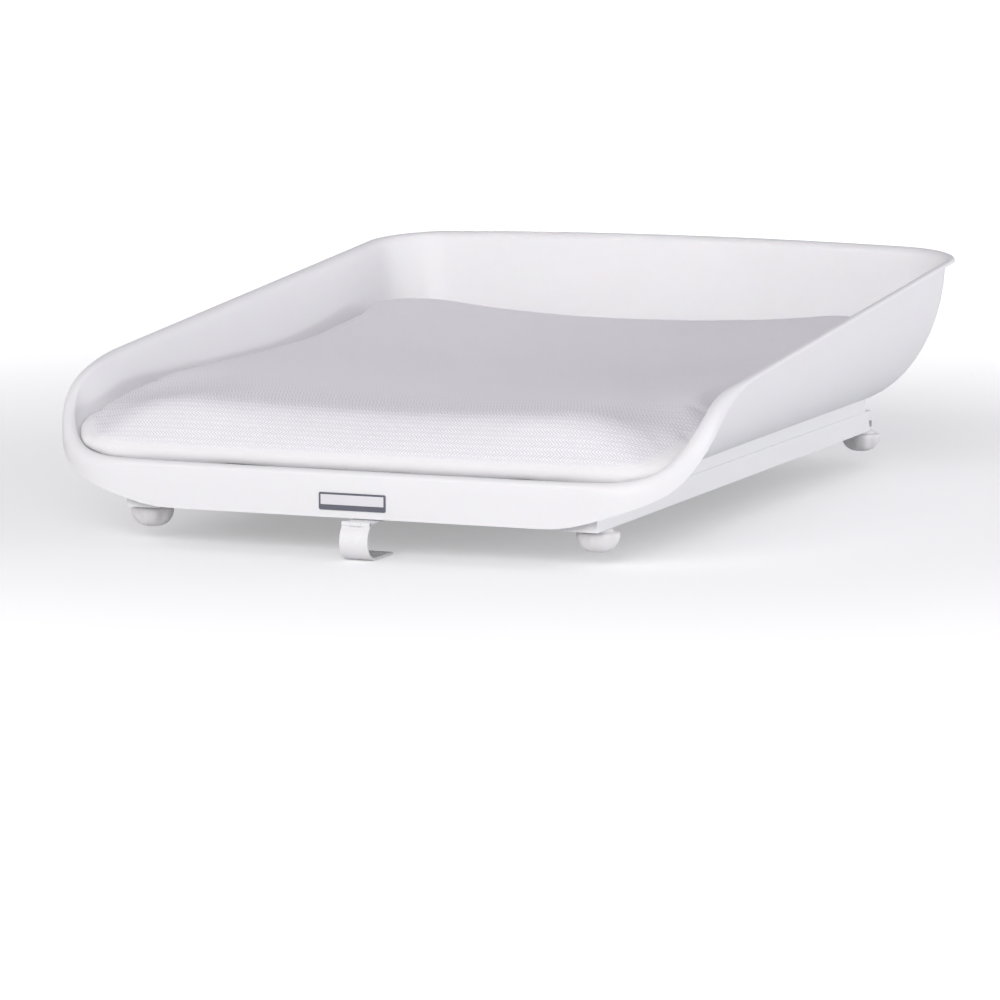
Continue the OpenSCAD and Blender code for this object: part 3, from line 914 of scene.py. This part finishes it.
def make_badge_field():
    """A pale field let into the grey plate, leaving a border and a band below. No marking."""
    low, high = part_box("badge_plate")
    x0, x1 = low.x + BADGE_BORDER, high.x - BADGE_BORDER
    z0, z1 = low.z + BADGE_BAND, high.z - BADGE_BORDER
    front = low.y - FIELD_PROUD
    back = low.y + FIELD_PROUD
    verts = [(x, y, z) for y in (front, back) for x, z in ((x0, z0), (x1, z0), (x1, z1), (x0, z1))]
    faces = [(0, 1, 2, 3), (7, 6, 5, 4)]
    faces += [(i, i + 4, (i + 1) % 4 + 4, (i + 1) % 4) for i in range(4)]
    field = new_object("badge_field", verts, faces)
    fix_normals(field)
    soften(field, 0.0002, 2)
    paint(field, BADGE_FIELD)
    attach(field, "tray")


make_badge_field()


# ---- zip along the rear of the cover --------------------------------------------------------
TOOTH_PITCH = 0.0026
TOOTH_WIDTH = 0.0018
TOOTH_TIP_WIDTH = 0.0012
TOOTH_OVERLAP = 0.0006
TOOTH_LENGTH = 0.0016
TOOTH_FOOT = 0.0006
TOOTH_TOP = 0.0015
TAPE_HALF = 0.0055
TAPE_ROWS = 5
TAPE_SUNK = 0.0004
TAPE_T = 0.0009
ZIP_MARGIN = 0.012


def tape_cloth(name):
    """Woven zip tape: a fine square weave."""
    m = Material(name)
    x, y, z = m.xyz()
    warp = m.math("SINE", m.math("MULTIPLY", x, 5200.0))
    weft = m.math("SINE", m.math("MULTIPLY", z, 5200.0))
    weave = m.math("MULTIPLY", warp, weft)
    tint = m.mix_color(m.ramp(weave, 0.3, 0.8), (0.72, 0.72, 0.75), (0.82, 0.82, 0.85))
    m.set(Base_Color=tint, Roughness=0.85, Normal=m.bump(weave, 0.4, 0.0002))
    return m.material


def make_tape(on_cover, xs, z):
    """A strip of tape that follows the cover's rear face."""
    verts = []
    for lift in (-TAPE_SUNK, TAPE_T - TAPE_SUNK):
        for x in xs:
            for k in range(TAPE_ROWS):
                height = z + TAPE_HALF * (2 * k / (TAPE_ROWS - 1) - 1)
                verts.append(Vector((x, on_cover(x, height) + lift, height)))
    count = len(xs) - 1
    layer = len(xs) * TAPE_ROWS
    faces = []
    for i in range(count):
        for k in range(TAPE_ROWS - 1):
            a = i * TAPE_ROWS + k
            faces.append((a, a + 1, a + TAPE_ROWS + 1, a + TAPE_ROWS))
            b = a + layer
            faces.append((b, b + TAPE_ROWS, b + TAPE_ROWS + 1, b + 1))
    border = list(range(TAPE_ROWS))
    border += [i * TAPE_ROWS + TAPE_ROWS - 1 for i in range(1, count + 1)]
    border += [count * TAPE_ROWS + k for k in range(TAPE_ROWS - 2, -1, -1)]
    border += [i * TAPE_ROWS for i in range(count - 1, 0, -1)]
    for a, b in zip(border, border[1:] + border[:1]):
        faces.append((a, b, b + layer, a + layer))
    tape = new_object("zip_tape", verts, faces)
    fix_normals(tape)
    shade_smooth(tape, 40)
    paint(tape, TAPE)
    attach(tape, "mattress")


def make_teeth(on_cover, xs, z):
    """Teeth that point up and down in turn, tapered towards their tips."""
    foot = TOOTH_WIDTH / 2
    tip = TOOTH_TIP_WIDTH / 2
    bottom = -TOOTH_OVERLAP
    outline = ((-foot, bottom), (foot, bottom), (tip, TOOTH_LENGTH), (-tip, TOOTH_LENGTH))
    verts = []
    faces = []
    for i, (left, right) in enumerate(zip(xs, xs[1:])):
        x = (left + right) / 2
        side = 1 if i % 2 else -1
        start = len(verts)
        for lift in (TOOTH_FOOT, TOOTH_TOP):
            for dx, dz in outline:
                verts.append(Vector((x + dx, on_cover(x, z) + lift, z + side * dz)))
        faces.append((start, start + 1, start + 2, start + 3))
        faces.append((start + 7, start + 6, start + 5, start + 4))
        for k in range(4):
            after = (k + 1) % 4
            faces.append((start + k, start + k + 4, start + after + 4, start + after))
    teeth = new_object("zip_teeth", verts, faces)
    fix_normals(teeth)
    paint(teeth, ZIP_METAL)
    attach(teeth, "mattress")


def make_zip():
    """Tape with two rows of teeth, laid on the rear face of the cover."""
    slider_low, slider_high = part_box("zip_slider")
    z = (slider_low.z + slider_high.z) / 2
    start = slider_low.x - ZIP_MARGIN
    count = int(-2 * start / TOOTH_PITCH)
    xs = [mix(start, -start, i / count) for i in range(count + 1)]
    surface = BVHTree.FromObject(MATTRESS, bpy.context.evaluated_depsgraph_get())

    def on_cover(x, height):
        hit = surface.ray_cast(Vector((x, 0.5, height)), Vector((0, -1, 0)))[0]
        return hit.y if hit else COVER_REAR

    make_tape(on_cover, xs, z)
    make_teeth(on_cover, xs, z)


TAPE = tape_cloth("zip_tape_cloth")
make_zip()

# ---- CAD nodes that keep their shape --------------------------------------------------------
FINISHES = {
    FRAME_PLASTIC: ["under_frame", "runner_left", "runner_right", "front_cap_left", "front_cap_right",
                    "rear_foot_left", "rear_foot_right"],
    CATCH_PLASTIC: ["catch_plate", "front_catch"],
    BADGE_GREY: ["badge_plate"],
    ZIP_METAL: ["zip_slider", "zip_pull"],
    STEEL: ["front_nut_left", "front_nut_right", "rear_nut_left", "rear_nut_right",
            "front_stud_left", "front_stud_right", "rear_stud_left", "rear_stud_right",
            "tray_screws", "runner_screws", "catch_screws", "catch_pin"],
}
EDGE_WIDTH = {
    FRAME_PLASTIC: 0.0009,
    CATCH_PLASTIC: 0.0006,
    BADGE_GREY: 0.0002,
    ZIP_METAL: 0.0003,
    STEEL: 0.0003,
}
for material, names in FINISHES.items():
    for name in names:
        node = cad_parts[name]
        paint(node, material)
        shade_smooth(node, 30)
        soften(node, EDGE_WIDTH[material])

# ---- stage, light and camera ----------------------------------------------------------------
STAGE_Z = CAD_LOW.z - 0.0005
STAGE_GLOW_START = 1.5
STAGE_GLOW_WIDTH = 2.4
WARM_WHITE = (1.0, 0.98, 0.97)
COOL_WHITE = (0.98, 0.98, 1.0)
TENT_HORIZON = (1.0, 1.0, 1.0, 1)
TENT_ZENITH = (0.25, 0.24, 0.28, 1)
TENT_STRENGTH = 0.92


def make_stage():
    """A pale floor that brightens away from the object, for the camera only."""
    bpy.ops.mesh.primitive_plane_add(size=60, location=(0, 0, STAGE_Z))
    floor = bpy.context.object
    floor.name = "studio_floor"
    m = Material("studio_floor")
    shade = m.noise(0.6, 2.0)
    x, y, z = m.xyz()
    away = m.math("SQRT", m.math("ADD", m.math("MULTIPLY", x, x), m.math("MULTIPLY", y, y)))
    seen = m.tree.nodes.new("ShaderNodeLightPath").outputs["Is Camera Ray"]
    outward = m.step(away, STAGE_GLOW_START, STAGE_GLOW_WIDTH)
    glow = m.math("MULTIPLY", seen, m.ramp(outward, 0.30, 1.0))
    tint = m.mix_color(shade, (0.77, 0.77, 0.78), (0.81, 0.81, 0.82))
    m.set(Base_Color=tint, Roughness=0.9)
    m.set(Emission_Color=(1, 1, 1, 1), Emission_Strength=glow)
    paint(floor, m.material)


def area_light(name, location, target, size, power, color, spread=180):
    data = bpy.data.lights.new(name, "AREA")
    data.shape = "RECTANGLE"
    data.size, data.size_y = size
    data.energy = power
    data.color = color
    data.spread = math.radians(spread)
    light = bpy.data.objects.new(name, data)
    light.location = location
    light.rotation_euler = (Vector(target) - Vector(location)).to_track_quat("-Z", "Y").to_euler()
    bpy.context.scene.collection.objects.link(light)


def make_world():
    """Soft tent light: bright towards the horizon and dimmer overhead."""
    world = bpy.data.worlds.new("tent")
    bpy.context.scene.world = world
    world.use_nodes = True
    tree = world.node_tree
    background = tree.nodes["Background"]
    coords = tree.nodes.new("ShaderNodeTexCoord")
    split = tree.nodes.new("ShaderNodeSeparateXYZ")
    fade = tree.nodes.new("ShaderNodeValToRGB")
    tree.links.new(coords.outputs["Generated"], split.inputs[0])
    tree.links.new(split.outputs["Z"], fade.inputs["Fac"])
    tree.links.new(fade.outputs["Color"], background.inputs["Color"])
    horizon, zenith = fade.color_ramp.elements
    horizon.position = 0.0
    horizon.color = TENT_HORIZON
    zenith.position = 0.9
    zenith.color = TENT_ZENITH
    background.inputs["Strength"].default_value = TENT_STRENGTH


make_stage()
make_world()
area_light(
    "front_softbox",
    location=(0.3, -3.2, 1.55),
    target=(0, 0, 0.08),
    size=(2.6, 1.6),
    power=60,
    color=WARM_WHITE,
)
area_light(
    "rear_fill",
    location=(0.3, -2.6, 1.3),
    target=(-0.1, 0.40, 0.20),
    size=(0.4, 0.2),
    power=0.09,
    color=(1.0, 0.98, 0.96),
    spread=14,
)
area_light(
    "side_softbox",
    location=(2.8, 0.6, 0.45),
    target=(0, 0, 0.05),
    size=(1.8, 0.6),
    power=26,
    color=COOL_WHITE,
)

camera_data = bpy.data.cameras.new("camera")
camera_data.sensor_width = SENSOR
camera_data.lens = CAMERA_LENS
camera_data.clip_end = 100
camera = bpy.data.objects.new("camera", camera_data)
camera.location = CAMERA_EYE
camera.rotation_euler = (math.radians(90 - CAMERA_PITCH), 0, math.radians(CAMERA_TURN))
bpy.context.scene.collection.objects.link(camera)
bpy.context.scene.camera = camera
bpy.context.scene.view_settings.view_transform = "Standard"
